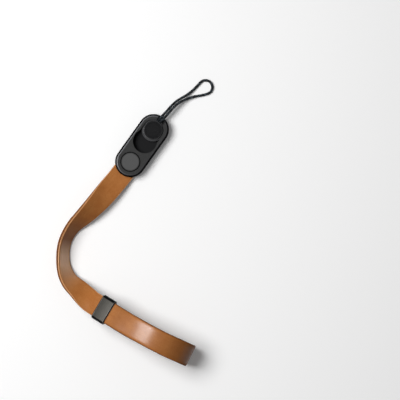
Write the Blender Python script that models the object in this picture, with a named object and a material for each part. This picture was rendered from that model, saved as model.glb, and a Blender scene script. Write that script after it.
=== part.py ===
"""Camera wrist strap: one leather strip, doubled back through a sliding keeper to form a cuff, and
pinned in a moulded housing. A round anchor on a short cord slides out of the housing.

Metres, +Z up. Everything lies as it comes to rest on a table at z = 0: the housing on its back, the
lead with its lower edge just clear of the table, the cuff standing like a hoop on its band.
The origin is the middle of the housing's back. +Y runs along the housing to the end the cord leaves.
"""
import math

import bmesh
import bpy
import numpy as np
from mathutils import Matrix, Vector

# Fits
GAP = 0.0003                    # between pieces that touch, and round a pin in its bore
STRAP_CLEARANCE = 0.0004        # round the strap in the housing's slot
TRACK_CLEARANCE = 0.0004        # round the anchor's flange in its track

# Leather strip
STRAP_WIDTH = 0.0195
STRAP_THICKNESS = 0.0014
STATION_STEP = 0.0033           # length of strip between two cross-sections

# Housing
HOUSING_LENGTH = 0.061
HOUSING_WIDTH = 0.0265
HOUSING_HEIGHT = 0.010
HOUSING_CHAMFER_WIDTH = 0.0012
HOUSING_CHAMFER_DROP = 0.0009
BACK_THICKNESS = 0.0016
BACK_CHAMFER = 0.0004
SEAT_INSET = 0.00075            # from the round end's centre in to the anchor's seat
POCKET_SPARE = 0.0001           # more room round the flange in the pocket than in the track
ANCHOR_TRAVEL = 0.0119          # from the seat down to the pocket, where the anchor drops in
LIP_THICKNESS = 0.0022          # of the two lips that hold the flange down
SLOT_HALF_WIDTH = 0.0092        # between the lips
STRAP_PAST_POST = 0.00625       # how far both ends of the strip run past the post
SLOT_END_SPARE = 0.0005
CORD_GAP_LEFT = 0.0028
CORD_GAP_RIGHT = 0.0046

# Post that pins both ends of the strip, and the disc that caps it
POST_RADIUS = 0.0015
POST_SOCKET_DEPTH = 0.0008
POST_TOP_SPARE = 0.0003
CAP_RADIUS = 0.0080
CAP_FOOT_RADIUS = 0.0084
CAP_THICKNESS = 0.0009
CAP_FOOT_THICKNESS = 0.0003
CAP_EDGE = 0.00025

# Screws, heads sunk in the back
UPPER_SCREW_INSET = 0.00195     # in from the rim of the upper round end
UPPER_SCREW_TURN = math.radians(41)     # round that end, from its side
LOWER_SCREW_INSET = 0.00375     # in from the housing's side
LOWER_SCREW_PAST_POST = 0.01075
SCREW_SHAFT_RADIUS = 0.0007
SCREW_HEAD_RADIUS = 0.0013
SCREW_HEAD_THICKNESS = 0.0005
SCREW_HEAD_SUNK = 0.0001
SCREW_LENGTH = 0.0052
SCREW_SOCKET_RADIUS = 0.0006
SCREW_SOCKET_DEPTH = 0.00025

# Anchor
BUTTON_RADIUS = 0.0084
BUTTON_THICKNESS = 0.0019
BUTTON_EDGE = 0.0005
BUTTON_RING_RADIUS = 0.0062
BUTTON_RING_WIDTH = 0.0005
BUTTON_RING_DEPTH = 0.00025
BUTTON_SKIN = 0.0009            # left above the tunnel that the cord enters
FLANGE_RADIUS = 0.0099
FLANGE_THICKNESS = 0.0023
FLANGE_EDGE = 0.0004
CORD_DIAMETER = 0.0021
CORD_STEP = 0.0045
CORD_STRAND_SPREAD = 0.0024     # between the middles of the two strands
CORD_TUNNEL_SPARE = 0.0003

# Leaf that the anchor is pressed against
LEAF_WIDTH = 0.0070
LEAF_THICKNESS = 0.0004
LEAF_HALF_LENGTH = 0.0078       # from the seat's centre to each end of the leaf
LEAF_ROOM = 0.0014              # between the track's floor and the flange
LEAF_STEPS = 12

# Keeper
KEEPER_LENGTH = 0.0126
KEEPER_CLEARANCE = 0.0003       # round the doubled strap
LINER_WALL = 0.0004
LINER_LIP = 0.0003              # length of the liner's lip at each end
LINER_LIP_HEIGHT = 0.0008
LINER_CORNER = 0.0012
SLEEVE_WALL = 0.0007
SLEEVE_EDGE = 0.00025
KEEPER_PITCH = math.radians(19.6)
KEEPER_YAW = math.radians(4.8)
RUN_BEFORE_KEEPER = 0.0072      # straight strap on its housing side
RUN_AFTER_KEEPER = 0.0013

# Lead, from the housing's mouth to the straight run that carries the keeper: x, distance beyond the
# mouth, height of the strip's lower edge over the table, and how far its face leans to +X in degrees
LEAD_ROUTE = (
    (-0.0010, 0.0145, 0.0038, 7),
    (-0.0025, 0.0310, 0.0048, 27),
    (-0.0045, 0.0450, 0.0040, 42),
    (-0.0075, 0.0630, 0.0010, 61),
    (-0.0050, 0.0780, 0.0003, 65),
    (0.0040, 0.0920, 0.0004, 62),
    (0.0155, 0.1000, 0.0028, 56),
    (0.0300, 0.1025, 0.0083, 42),
    (0.0432, 0.1041, 0.0188, 0),
)

# Cuff: distance beyond the straight run, height of the strip's lower face over the table, how far its
# middle lies to the wrist's +Y side, and how far that side's edge is raised, in degrees. The front
# layer leaves over the top and comes back below, flat on the table.
CUFF_ROUTE = (
    (0.0135, 0.0325, -0.0008, 4),
    (0.0275, 0.0370, -0.0013, 4),
    (0.0425, 0.0398, -0.0016, 4),
    (0.0570, 0.0392, -0.0016, 4),
    (0.0690, 0.0335, -0.0015, 3),
    (0.0762, 0.0235, -0.0018, 1),
    (0.0752, 0.0117, -0.0025, 0),
    (0.0665, 0.0030, -0.0033, 0),
    (0.0535, 0.0003, -0.0040, 0),
    (0.0400, 0.0012, -0.0040, 0),
    (0.0285, 0.0066, -0.0034, 0),
    (0.0205, 0.0155, -0.0026, 0),
    (0.0145, 0.0244, -0.0016, 0),
    (0.0070, 0.0277, -0.0007, 0),
)
CUFF_YAW = math.radians(8.8)    # the cuff's plane from +X
CUFF_TURN_LENGTH = 0.025        # strip over which the keeper's attitude becomes the cuff's

# Middle line between the cord's two strands: x, y beyond the cord's start, height over the table, and
# half the distance between the strands
CORD_ROUTE = (
    (-0.0002, 0.0, 0.0076, 0.0012),
    (0.0000, 0.0045, 0.0076, 0.0012),
    (0.0006, 0.0080, 0.0076, 0.0012),
    (0.0012, 0.0120, 0.0076, 0.0012),
    (0.0016, 0.0160, 0.0076, 0.0012),
    (0.0020, 0.0195, 0.0075, 0.0012),
    (0.0032, 0.0250, 0.0065, 0.0012),
    (0.0053, 0.0300, 0.0047, 0.0013),
    (0.0078, 0.0350, 0.0028, 0.0017),
    (0.0104, 0.0400, 0.0015, 0.0029),
    (0.0130, 0.0450, 0.00105, 0.0047),
    (0.0152, 0.0500, 0.00105, 0.0060),
)
CORD_START_INSET = 0.0016       # from the button's rim in to where the strands begin
CORD_ARC_STEPS = 6

ROUND_STEPS = 48
SMALL_ROUND_STEPS = 20
SHARP_ANGLE = math.radians(32)
THROUGH = 0.001                 # how far a cutter runs past what it cuts

# Worked out from the sizes above
STACK = STRAP_THICKNESS + GAP / 2               # middle of the lead to a layer's outer face
LAYER_OFFSET = (STRAP_THICKNESS + GAP) / 2      # middle of the lead to the middle of a layer
END_RADIUS = HOUSING_WIDTH / 2
END_Y = (HOUSING_LENGTH - HOUSING_WIDTH) / 2    # centre of each round end
MOUTH_Y = -HOUSING_LENGTH / 2
STRAP_END_Y = STRAP_PAST_POST - END_Y
SHELL_BOTTOM = BACK_THICKNESS + GAP
STRAP_Z = BACK_THICKNESS + STRAP_CLEARANCE + STACK
SLOT_ROOF = STRAP_Z + STACK + STRAP_CLEARANCE
TRACK_ROOF = HOUSING_HEIGHT - LIP_THICKNESS
TRACK_HALF_WIDTH = FLANGE_RADIUS + TRACK_CLEARANCE
POCKET_RADIUS = TRACK_HALF_WIDTH + POCKET_SPARE
SEAT_Y = END_Y - SEAT_INSET
POCKET_Y = SEAT_Y - ANCHOR_TRAVEL
FLANGE_TOP = TRACK_ROOF - GAP
FLANGE_BOTTOM = FLANGE_TOP - FLANGE_THICKNESS
TRACK_FLOOR = FLANGE_BOTTOM - LEAF_ROOM
LEAF_START_Y = SEAT_Y - LEAF_HALF_LENGTH
LEAF_END_Y = SEAT_Y + LEAF_HALF_LENGTH
UPPER_SCREW_REACH = END_RADIUS - UPPER_SCREW_INSET
SCREW_SPOTS = ((UPPER_SCREW_REACH * math.cos(UPPER_SCREW_TURN),
                END_Y + UPPER_SCREW_REACH * math.sin(UPPER_SCREW_TURN)),
               (END_RADIUS - LOWER_SCREW_INSET, LOWER_SCREW_PAST_POST - END_Y))
BUTTON_BOTTOM = FLANGE_TOP + GAP
BUTTON_TOP = BUTTON_BOTTOM + BUTTON_THICKNESS
CORD_RADIUS = CORD_DIAMETER / 2
CORD_START_Y = SEAT_Y + BUTTON_RADIUS - CORD_START_INSET
CORD_Z = CORD_ROUTE[0][2]
CORD_X = CORD_ROUTE[0][0]
CORD_HALF_BUNDLE = CORD_STRAND_SPREAD / 2 + CORD_RADIUS
CAP_BOTTOM = HOUSING_HEIGHT - CAP_THICKNESS
CAP_SEAT = CAP_BOTTOM - GAP
KEEPER_TURN = Matrix.Rotation(KEEPER_YAW, 3, "Z") @ Matrix.Rotation(-KEEPER_PITCH, 3, "Y")
KEEPER_AXIS = KEEPER_TURN @ Vector((1, 0, 0))
UP = Vector((0, 0, 1))


def clear_scene():
    for old in list(bpy.data.objects):
        bpy.data.objects.remove(old, do_unlink=True)


def material(name, colour, roughness, metallic=0.0):
    """A Principled material in the piece's main colour."""
    made = bpy.data.materials.new(name)
    made.use_nodes = True
    shader = made.node_tree.nodes["Principled BSDF"]
    shader.inputs["Base Color"].default_value = (*colour, 1)
    shader.inputs["Roughness"].default_value = roughness
    shader.inputs["Metallic"].default_value = metallic
    return made


def empty(name, place=(0, 0, 0), matrix=None):
    made = bpy.data.objects.new(name, None)
    bpy.context.scene.collection.objects.link(made)
    made.matrix_world = matrix if matrix else Matrix.Translation(place)
    return made


def add_mesh(name, bm, finish=None, place=(0, 0, 0), parent=None):
    """Turns a bmesh into a named object with outward normals, smooth except at real edges."""
    bmesh.ops.recalc_face_normals(bm, faces=bm.faces)
    mesh = bpy.data.meshes.new(name)
    bm.to_mesh(mesh)
    bm.free()
    mesh.shade_smooth()
    mesh.set_sharp_from_angle(angle=SHARP_ANGLE)
    made = bpy.data.objects.new(name, mesh)
    bpy.context.scene.collection.objects.link(made)
    made.location = place
    made.parent = parent
    if finish:
        mesh.materials.append(finish)
    return made


def cut(target, cutter):
    """Takes the cutter's volume out of the target, and keeps the cutter as a hidden guide."""
    cutter.hide_render = True
    cutter.display_type = "WIRE"
    cutter.parent = target.parent
    step = target.modifiers.new(cutter.name, "BOOLEAN")
    step.operation = "DIFFERENCE"
    step.solver = "EXACT"
    step.object = cutter


def loft(loops, closed=False):
    """Skins loops of equally many points; a run that isn't closed gets flat ends."""
    bm = bmesh.new()
    rows = [[bm.verts.new(point) for point in loop] for loop in loops]
    pairs = list(zip(rows, rows[1:]))
    if closed:
        pairs.append((rows[-1], rows[0]))
    for first, second in pairs:
        for i in range(len(first)):
            j = (i + 1) % len(first)
            bm.faces.new((first[i], first[j], second[j], second[i]))
    if not closed:
        bm.faces.new(rows[0][::-1])
        bm.faces.new(rows[-1])
    return bm


def turned(profile, steps=ROUND_STEPS):
    """Spins a profile of (radius, height) points, both ends on the axis, about Z."""
    bm = bmesh.new()
    points = [bm.verts.new((radius, 0, height)) for radius, height in profile]
    edges = [bm.edges.new(pair) for pair in zip(points, points[1:])]
    bmesh.ops.spin(bm, geom=points + edges, cent=(0, 0, 0), axis=(0, 0, 1), angle=math.tau, steps=steps)
    bmesh.ops.remove_doubles(bm, verts=bm.verts, dist=1e-6)
    return bm


def capsule(half_run, radius, z, middle_y=0.0, steps=ROUND_STEPS):
    """A loop with two round ends, its straight sides along Y."""
    loop = []
    for i in range(steps + 2):
        half = steps // 2
        turn = i if i <= half else i - 1
        centre = half_run if i <= half else -half_run
        angle = math.tau * turn / steps
        loop.append((radius * math.cos(angle), middle_y + centre + radius * math.sin(angle), z))
    return loop


def capsule_block(half_run, middle_y, levels):
    """A solid of capsule outlines: levels of (radius, height)."""
    return loft([capsule(half_run, radius, z, middle_y) for radius, z in levels])


def cylinder(radius, bottom, top, steps=ROUND_STEPS):
    return turned(((0, bottom), (radius, bottom), (radius, top), (0, top)), steps)


def block(low, high):
    corners = ((low[0], low[1]), (high[0], low[1]), (high[0], high[1]), (low[0], high[1]))
    return loft([[(x, y, z) for x, y in corners] for z in (low[2], high[2])])


def spline(rows, step):
    """A smooth curve through the middle of some rows of numbers, x, y and z first.

    The first and last rows only aim its ends."""
    rows = [np.array(row, dtype=float) for row in rows]
    curve = []
    for before, start, end, after in zip(rows, rows[1:], rows[2:], rows[3:]):
        pieces = max(1, round(np.linalg.norm((end - start)[:3]) / step))
        for i in range(pieces):
            t = i / pieces
            curve.append(0.5 * (2 * start + (end - before) * t
                                + (2 * before - 5 * start + 4 * end - after) * t ** 2
                                + (3 * start - before - 3 * end + after) * t ** 3))
    curve.append(rows[-2])
    return curve


def headings(places):
    """Unit directions along a row of places."""
    last = len(places) - 1
    return [(places[min(i + 1, last)] - places[max(i - 1, 0)]).normalized() for i in range(last + 1)]


def lead_stations():
    """Place, direction across and face normal of the doubled strap, from its ends to the cuff."""
    inside = (STRAP_END_Y, (STRAP_END_Y + MOUTH_Y) / 2, MOUTH_Y)
    rows = [(0, y, STRAP_Z, 0) for y in inside]
    for x, beyond, low, lean in LEAD_ROUTE:
        angle = math.radians(lean)
        rise = STRAP_WIDTH / 2 * math.sin(angle) + STACK * math.cos(angle)
        rows.append((x, MOUTH_Y - beyond, low + rise, angle))
    run_start = Vector(rows[-1][:3])
    run_length = RUN_BEFORE_KEEPER + KEEPER_LENGTH + RUN_AFTER_KEEPER
    run_steps = round(run_length / STATION_STEP)
    run = [run_start + KEEPER_AXIS * run_length * i / run_steps for i in range(1, run_steps + 1)]
    aim = (*(run_start + KEEPER_AXIS * KEEPER_LENGTH), 0)
    curve = spline(rows[1:] + [aim], STATION_STEP)
    stations = [(Vector(row[:3]), row[3]) for row in rows[:2] + curve]
    stations += [(place, 0) for place in run]
    framed = []
    for (place, lean), along in zip(stations, headings([place for place, lean in stations])):
        level = UP.cross(along).normalized()
        across = level * math.cos(lean) - along.cross(level) * math.sin(lean)
        framed.append((place, across, along.cross(across)))
    return framed


def cuff_stations(lead_end):
    """The single strip between the two layers: over the wrist, round it and back below."""
    middle, across, normal = lead_end
    leaving = middle + normal * LAYER_OFFSET
    arriving = middle - normal * LAYER_OFFSET
    level = Vector((math.cos(CUFF_YAW), math.sin(CUFF_YAW), 0))
    wrist = UP.cross(level)
    rows = [(*(leaving - KEEPER_AXIS * KEEPER_LENGTH), 0), (*leaving, 0)]
    for beyond, height, aside, raised in CUFF_ROUTE:
        place = Vector((middle.x, middle.y, 0)) + level * beyond + wrist * aside
        rows.append((place.x, place.y, height + STRAP_THICKNESS / 2, math.radians(raised)))
    rows += [(*arriving, 0), (*(arriving - KEEPER_AXIS * KEEPER_LENGTH), 0)]
    curve = spline(rows, STATION_STEP)
    places = [Vector(row[:3]) for row in curve]
    travelled = [0.0]
    for before, after in zip(places, places[1:]):
        travelled.append(travelled[-1] + (after - before).length)
    framed = []
    for row, place, along, length in zip(curve, places, headings(places), travelled):
        turn = min(length, travelled[-1] - length, CUFF_TURN_LENGTH) / CUFF_TURN_LENGTH
        eased = turn * turn * (3 - 2 * turn)
        width = across.lerp(wrist * math.cos(row[3]) + UP * math.sin(row[3]), eased)
        width = (width - along * width.dot(along)).normalized()
        framed.append((place, width, along.cross(width)))
    return framed[1:-1]


def strip_section(place, across, normal):
    """One cross-section of the leather, with rounded edges."""
    edge = STRAP_THICKNESS / 2
    loop = []
    for side in (1, -1):
        for i in range(5):
            angle = side * (math.pi / 2 - math.pi / 4 * i)
            reach = STRAP_WIDTH / 2 - edge + edge * math.cos(angle)
            loop.append(place + across * side * reach + normal * edge * math.sin(angle))
    return loop


def make_strap(finish, parent):
    """The whole strip, both ends pierced for the post."""
    lead = lead_stations()
    front = [(place + normal * LAYER_OFFSET, across, normal) for place, across, normal in lead]
    back = [(place - normal * LAYER_OFFSET, across, -normal) for place, across, normal in lead[::-1]]
    loops = [strip_section(*station) for station in front + cuff_stations(lead[-1]) + back]
    strap = add_mesh("strap", loft(loops), finish, parent=parent)
    hole = cylinder(POST_RADIUS + GAP, SHELL_BOTTOM - THROUGH, SLOT_ROOF, SMALL_ROUND_STEPS)
    cut(strap, add_mesh("cut_strap_hole", hole, place=(0, -END_Y, 0)))
    return lead


def make_housing(finish_front, finish_back, parent):
    """The deep front shell with its track and slots, and the flat cover that closes its back."""
    shell = capsule_block(END_Y, 0, (
        (END_RADIUS, SHELL_BOTTOM),
        (END_RADIUS, HOUSING_HEIGHT - HOUSING_CHAMFER_DROP),
        (END_RADIUS - HOUSING_CHAMFER_WIDTH / 3, HOUSING_HEIGHT - HOUSING_CHAMFER_DROP / 3),
        (END_RADIUS - HOUSING_CHAMFER_WIDTH, HOUSING_HEIGHT)))
    front = add_mesh("housing_front", shell, finish_front, parent=parent)
    half_travel = ANCHOR_TRAVEL / 2
    track_middle = POCKET_Y + half_travel
    above = HOUSING_HEIGHT + THROUGH
    track = ((TRACK_HALF_WIDTH, TRACK_FLOOR), (TRACK_HALF_WIDTH, TRACK_ROOF))
    slot = ((SLOT_HALF_WIDTH, TRACK_FLOOR + GAP), (SLOT_HALF_WIDTH, above))
    cut(front, add_mesh("cut_track", capsule_block(half_travel, track_middle, track)))
    cut(front, add_mesh("cut_slot", capsule_block(half_travel, track_middle, slot)))
    pocket = cylinder(POCKET_RADIUS, TRACK_FLOOR, above)
    cut(front, add_mesh("cut_pocket", pocket, place=(0, POCKET_Y, 0)))
    strap_half = STRAP_WIDTH / 2 + GAP
    strap_slot = block((-strap_half, MOUTH_Y - THROUGH, SHELL_BOTTOM - THROUGH),
                       (strap_half, STRAP_END_Y + SLOT_END_SPARE, SLOT_ROOF))
    cut(front, add_mesh("cut_strap_slot", strap_slot))
    post_bore = cylinder(POST_RADIUS + GAP, SHELL_BOTTOM, CAP_SEAT + GAP, SMALL_ROUND_STEPS)
    cut(front, add_mesh("cut_post_bore", post_bore, place=(0, -END_Y, 0)))
    cap_recess = cylinder(CAP_FOOT_RADIUS + GAP, CAP_SEAT, above)
    cut(front, add_mesh("cut_cap_recess", cap_recess, place=(0, -END_Y, 0)))
    cord_gap = block((-CORD_GAP_LEFT, SEAT_Y, CORD_Z - CORD_RADIUS - GAP),
                     (CORD_GAP_RIGHT, HOUSING_LENGTH / 2 + THROUGH, above))
    cut(front, add_mesh("cut_cord_gap", cord_gap))

    cover = capsule_block(END_Y, 0, ((END_RADIUS - BACK_CHAMFER, 0), (END_RADIUS, BACK_CHAMFER),
                                     (END_RADIUS, BACK_THICKNESS)))
    back = add_mesh("housing_back", cover, finish_back, parent=parent)
    post_socket = cylinder(POST_RADIUS + GAP, BACK_THICKNESS - POST_SOCKET_DEPTH,
                           BACK_THICKNESS + THROUGH, SMALL_ROUND_STEPS)
    cut(back, add_mesh("cut_post_socket", post_socket, place=(0, -END_Y, 0)))
    return front, back


def make_screws(front, back, finish, parent):
    """Four screws up through the cover into the shell, each with a hexagon socket."""
    head_top = SCREW_HEAD_SUNK + SCREW_HEAD_THICKNESS
    bore_radius = SCREW_SHAFT_RADIUS + GAP
    spots = [(side * x, y) for x, y in SCREW_SPOTS for side in (-1, 1)]
    for number, (x, y) in enumerate(spots, 1):
        profile = ((0, SCREW_HEAD_SUNK), (SCREW_HEAD_RADIUS, SCREW_HEAD_SUNK),
                   (SCREW_HEAD_RADIUS, head_top), (SCREW_SHAFT_RADIUS, head_top),
                   (SCREW_SHAFT_RADIUS, SCREW_LENGTH - SCREW_SHAFT_RADIUS / 2),
                   (SCREW_SHAFT_RADIUS / 2, SCREW_LENGTH), (0, SCREW_LENGTH))
        screw = add_mesh(f"housing_screw_{number}", turned(profile, SMALL_ROUND_STEPS), finish,
                         (x, y, 0), parent)
        socket = cylinder(SCREW_SOCKET_RADIUS, -THROUGH, SCREW_HEAD_SUNK + SCREW_SOCKET_DEPTH, 6)
        cut(screw, add_mesh(f"cut_socket_{number}", socket, place=(x, y, 0)))
        counterbore = cylinder(SCREW_HEAD_RADIUS + GAP, -THROUGH, head_top + GAP, SMALL_ROUND_STEPS)
        cut(back, add_mesh(f"cut_counterbore_{number}", counterbore, place=(x, y, 0)))
        bore = cylinder(bore_radius, -THROUGH, SCREW_LENGTH + GAP, SMALL_ROUND_STEPS)
        bore_guide = add_mesh(f"cut_bore_{number}", bore, place=(x, y, 0))
        cut(back, bore_guide)
        cut(front, bore_guide)


def make_post(finish_post, finish_cap, parent):
    """The post through both ends of the strip, and the disc over it."""
    foot = BACK_THICKNESS - POST_SOCKET_DEPTH + GAP
    head = CAP_SEAT - POST_TOP_SPARE
    chamfer = POST_RADIUS / 5
    profile = ((0, foot), (POST_RADIUS - chamfer, foot), (POST_RADIUS, foot + chamfer),
               (POST_RADIUS, head - chamfer), (POST_RADIUS - chamfer, head), (0, head))
    add_mesh("strap_post", turned(profile, SMALL_ROUND_STEPS), finish_post, (0, -END_Y, 0), parent)
    cap = ((0, CAP_BOTTOM), (CAP_FOOT_RADIUS, CAP_BOTTOM),
           (CAP_FOOT_RADIUS, CAP_BOTTOM + CAP_FOOT_THICKNESS),
           (CAP_RADIUS, CAP_BOTTOM + CAP_FOOT_THICKNESS),
           (CAP_RADIUS, HOUSING_HEIGHT - CAP_EDGE), (CAP_RADIUS - CAP_EDGE, HOUSING_HEIGHT),
           (0, HOUSING_HEIGHT))
    add_mesh("post_cap", turned(cap), finish_cap, (0, -END_Y, 0), parent)


def make_leaf(finish, parent):
    """A shallow leaf spring on the track's floor, its crown just under the anchor."""
    crown = FLANGE_BOTTOM - GAP
    foot = TRACK_FLOOR + GAP + LEAF_THICKNESS
    loops = []
    for i in range(LEAF_STEPS + 1):
        share = i / LEAF_STEPS
        y = LEAF_START_Y + (LEAF_END_Y - LEAF_START_Y) * share
        top = foot + (crown - foot) * (1 - math.cos(math.tau * share)) / 2
        loops.append([(-LEAF_WIDTH / 2, y, top), (LEAF_WIDTH / 2, y, top),
                      (LEAF_WIDTH / 2, y, top - LEAF_THICKNESS),
                      (-LEAF_WIDTH / 2, y, top - LEAF_THICKNESS)])
    add_mesh("anchor_spring", loft(loops), finish, parent=parent)


def cord_points():
    """Out along one strand, round the end and back along the other."""
    rows = [(x, CORD_START_Y + beyond, z, half) for x, beyond, z, half in CORD_ROUTE]
    places = [Vector(row[:3]) for row in rows]
    aims = headings(places)
    outward = []
    homeward = []
    for place, aim, row in zip(places, aims, rows):
        side = Vector((aim.y, -aim.x, 0)).normalized()
        outward.append(place - side * row[3])
        homeward.append(place + side * row[3])
    end = places[-1]
    forward = Vector((aims[-1].x, aims[-1].y, 0)).normalized()
    side = Vector((forward.y, -forward.x, 0))
    radius = rows[-1][3]
    arc = []
    for i in range(1, CORD_ARC_STEPS):
        angle = math.pi * i / CORD_ARC_STEPS
        arc.append(end + forward * radius * math.sin(angle) - side * radius * math.cos(angle))
    route = outward + arc + homeward[::-1]
    aimed = [route[0] * 2 - route[1]] + route + [route[-1] * 2 - route[-2]]
    return [Vector(point) for point in spline(aimed, CORD_STEP)]


def make_anchor(finish_button, finish_flange, finish_cord, parent):
    """The round button, the wider flange that the lips hold, and the cord between them."""
    ring_in = BUTTON_RING_RADIUS - BUTTON_RING_WIDTH / 2
    ring_out = BUTTON_RING_RADIUS + BUTTON_RING_WIDTH / 2
    ring_floor = BUTTON_TOP - BUTTON_RING_DEPTH
    button_profile = (
        (0, BUTTON_BOTTOM), (BUTTON_RADIUS, BUTTON_BOTTOM), (BUTTON_RADIUS, BUTTON_TOP - BUTTON_EDGE),
        (BUTTON_RADIUS - BUTTON_EDGE * 0.3, BUTTON_TOP - BUTTON_EDGE * 0.3),
        (BUTTON_RADIUS - BUTTON_EDGE, BUTTON_TOP), (ring_out, BUTTON_TOP), (ring_out, ring_floor),
        (ring_in, ring_floor), (ring_in, BUTTON_TOP), (0, BUTTON_TOP))
    button = add_mesh("anchor_button", turned(button_profile), finish_button, parent=parent)
    flange_profile = (
        (0, FLANGE_BOTTOM), (FLANGE_RADIUS - FLANGE_EDGE, FLANGE_BOTTOM),
        (FLANGE_RADIUS, FLANGE_BOTTOM + FLANGE_EDGE), (FLANGE_RADIUS, FLANGE_TOP - FLANGE_EDGE),
        (FLANGE_RADIUS - FLANGE_EDGE, FLANGE_TOP), (0, FLANGE_TOP))
    flange = add_mesh("anchor_flange", turned(flange_profile), finish_flange, parent=parent)
    half = CORD_HALF_BUNDLE + CORD_TUNNEL_SPARE
    inner = CORD_START_Y - SEAT_Y - GAP
    tunnel = block((CORD_X - half, inner, CORD_Z - CORD_RADIUS - CORD_TUNNEL_SPARE),
                   (CORD_X + half, FLANGE_RADIUS + THROUGH, BUTTON_TOP - BUTTON_SKIN))
    tunnel_guide = add_mesh("cut_tunnel", tunnel, parent=parent)
    cut(button, tunnel_guide)
    cut(flange, tunnel_guide)

    curve = bpy.data.curves.new("anchor_cord", "CURVE")
    curve.dimensions = "3D"
    curve.bevel_depth = CORD_RADIUS
    curve.bevel_resolution = 2
    curve.use_fill_caps = True
    points = cord_points()
    line = curve.splines.new("POLY")
    line.points.add(len(points) - 1)
    for point, place in zip(line.points, points):
        point.co = (place.x, place.y - SEAT_Y, place.z, 1)
    curve.materials.append(finish_cord)
    cord = bpy.data.objects.new("anchor_cord", curve)
    bpy.context.scene.collection.objects.link(cord)
    cord.parent = parent


def rounded_loop(along, half_width, half_depth, corner):
    """A rounded rectangle across the keeper's axis: X along, Y across, Z deep."""
    loop = []
    for quarter, (side_y, side_z) in enumerate(((1, 1), (-1, 1), (-1, -1), (1, -1))):
        for i in range(5):
            angle = math.pi / 2 * (quarter + i / 4)
            loop.append((along, side_y * (half_width - corner) + corner * math.cos(angle),
                         side_z * (half_depth - corner) + corner * math.sin(angle)))
    return loop


def tube(profile, half_width, half_depth, corner):
    """A ring-shaped solid: the profile gives (along, height over the inner wall)."""
    loops = [rounded_loop(along, half_width + height, half_depth + height, corner + height)
             for along, height in profile]
    return loft(loops, closed=True)


def make_keeper(middle, finish_sleeve, finish_liner):
    """A metal sleeve on a plastic liner that grips the doubled strap."""
    parent = empty("keeper_slide_axis", matrix=Matrix.Translation(middle) @ KEEPER_TURN.to_4x4())
    half_width = STRAP_WIDTH / 2 + KEEPER_CLEARANCE
    half_depth = STACK + KEEPER_CLEARANCE
    end = KEEPER_LENGTH / 2
    shoulder = end - LINER_LIP
    liner_profile = ((-end, 0), (end, 0), (end, LINER_LIP_HEIGHT), (shoulder, LINER_LIP_HEIGHT),
                     (shoulder, LINER_WALL), (-shoulder, LINER_WALL),
                     (-shoulder, LINER_LIP_HEIGHT), (-end, LINER_LIP_HEIGHT))
    liner = tube(liner_profile, half_width, half_depth, LINER_CORNER)
    add_mesh("keeper_liner", liner, finish_liner, parent=parent)
    inner = LINER_WALL + GAP
    half = shoulder - GAP
    sleeve_profile = ((-half, 0), (half, 0), (half, SLEEVE_WALL - SLEEVE_EDGE),
                      (half - SLEEVE_EDGE, SLEEVE_WALL), (-half + SLEEVE_EDGE, SLEEVE_WALL),
                      (-half, SLEEVE_WALL - SLEEVE_EDGE))
    sleeve = tube(sleeve_profile, half_width + inner, half_depth + inner, LINER_CORNER + inner)
    add_mesh("keeper_sleeve", sleeve, finish_sleeve, parent=parent)


def build():
    clear_scene()
    leather = material("tan_leather", (0.43, 0.17, 0.045), 0.45)
    shell_plastic = material("shell_plastic", (0.020, 0.020, 0.021), 0.55)
    cover_plastic = material("cover_plastic", (0.018, 0.018, 0.019), 0.6)
    cap_plastic = material("cap_plastic", (0.09, 0.09, 0.09), 0.5)
    anchor_plastic = material("anchor_plastic", (0.016, 0.016, 0.017), 0.45)
    cord_fibre = material("cord_fibre", (0.02, 0.022, 0.027), 0.7)
    dark_steel = material("dark_steel", (0.12, 0.12, 0.13), 0.35, 1.0)
    gunmetal = material("gunmetal", (0.13, 0.12, 0.115), 0.35, 1.0)
    liner_plastic = material("liner_plastic", (0.015, 0.015, 0.015), 0.5)

    body = empty("strap_body")
    lead = make_strap(leather, body)
    front, back = make_housing(shell_plastic, cover_plastic, body)
    make_screws(front, back, dark_steel, body)
    make_post(dark_steel, cap_plastic, body)
    make_leaf(dark_steel, body)
    anchor = empty("anchor_slide_axis", (0, SEAT_Y, 0))
    make_anchor(anchor_plastic, anchor_plastic, cord_fibre, anchor)
    to_keeper = RUN_AFTER_KEEPER + KEEPER_LENGTH / 2
    make_keeper(lead[-1][0] - KEEPER_AXIS * to_keeper, gunmetal, liner_plastic)


build()
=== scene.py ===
# %% [markdown]
# # A leather camera wrist strap
# One leather strip is doubled: both ends sit in a dark housing, a metal keeper slides over the two
# layers, and beyond it the strip opens into the cuff. A round anchor on a short cord slides into the
# housing from the other end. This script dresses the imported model: it keeps the hidden pieces,
# remakes the visible ones with finer surfaces, and gives each its finish.

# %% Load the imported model
import math
from functools import reduce

import bmesh
import bpy
import numpy as np
from mathutils import Matrix, Vector


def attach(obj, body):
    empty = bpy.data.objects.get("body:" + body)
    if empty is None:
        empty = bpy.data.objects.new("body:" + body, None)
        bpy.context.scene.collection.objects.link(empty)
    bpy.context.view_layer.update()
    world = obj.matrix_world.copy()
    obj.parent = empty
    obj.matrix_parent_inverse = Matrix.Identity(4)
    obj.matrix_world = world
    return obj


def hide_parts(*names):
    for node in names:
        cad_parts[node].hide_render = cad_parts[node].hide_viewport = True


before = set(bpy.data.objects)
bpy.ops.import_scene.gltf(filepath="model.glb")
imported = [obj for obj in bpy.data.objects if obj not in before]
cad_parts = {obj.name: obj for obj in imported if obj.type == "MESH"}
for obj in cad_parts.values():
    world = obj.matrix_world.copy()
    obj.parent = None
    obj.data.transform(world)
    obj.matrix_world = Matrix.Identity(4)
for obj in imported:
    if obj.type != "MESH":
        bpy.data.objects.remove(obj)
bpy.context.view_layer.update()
print("nodes", sorted(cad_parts))

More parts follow.
